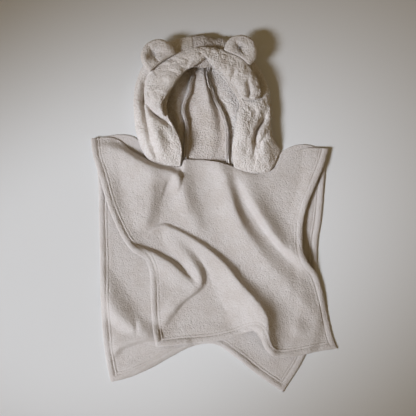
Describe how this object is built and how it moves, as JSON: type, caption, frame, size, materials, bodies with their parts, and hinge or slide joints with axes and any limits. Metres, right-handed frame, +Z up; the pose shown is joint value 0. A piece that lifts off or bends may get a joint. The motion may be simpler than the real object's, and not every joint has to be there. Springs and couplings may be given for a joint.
{
  "type": "hooded bath poncho",
  "caption": "Hooded terry bath poncho laid flat: square back and front panels joined at shoulders and neck, deep hood with turned-back brim and round dished ears",
  "frame": {"origin": "on the surface that the garment lies on, under the middle of its outline", "axes": "+Z up from the surface, +Y from the hem towards the hood, +X to the right as the wearer's front is seen"},
  "size_m": [0.6152, 0.8915, 0.0629],
  "materials": {
    "back_terry": "plush terry, warm oatmeal",
    "front_terry": "plush terry, warm oatmeal",
    "side_left_terry": "plush terry, warm oatmeal",
    "side_right_terry": "plush terry, warm oatmeal",
    "centre_terry": "plush terry, warm oatmeal",
    "brim_terry": "plush terry, warm oatmeal",
    "ear_left_terry": "plush terry, warm oatmeal",
    "ear_right_terry": "plush terry, warm oatmeal"
  },
  "bodies": {
    "root": {"back_panel": "back_terry", "front_panel": "front_terry", "hood_side_left": "side_left_terry", "hood_side_right": "side_right_terry", "hood_centre": "centre_terry", "hood_brim": "brim_terry", "ear_left": "ear_left_terry", "ear_right": "ear_right_terry"}
  },
  "joints": []
}
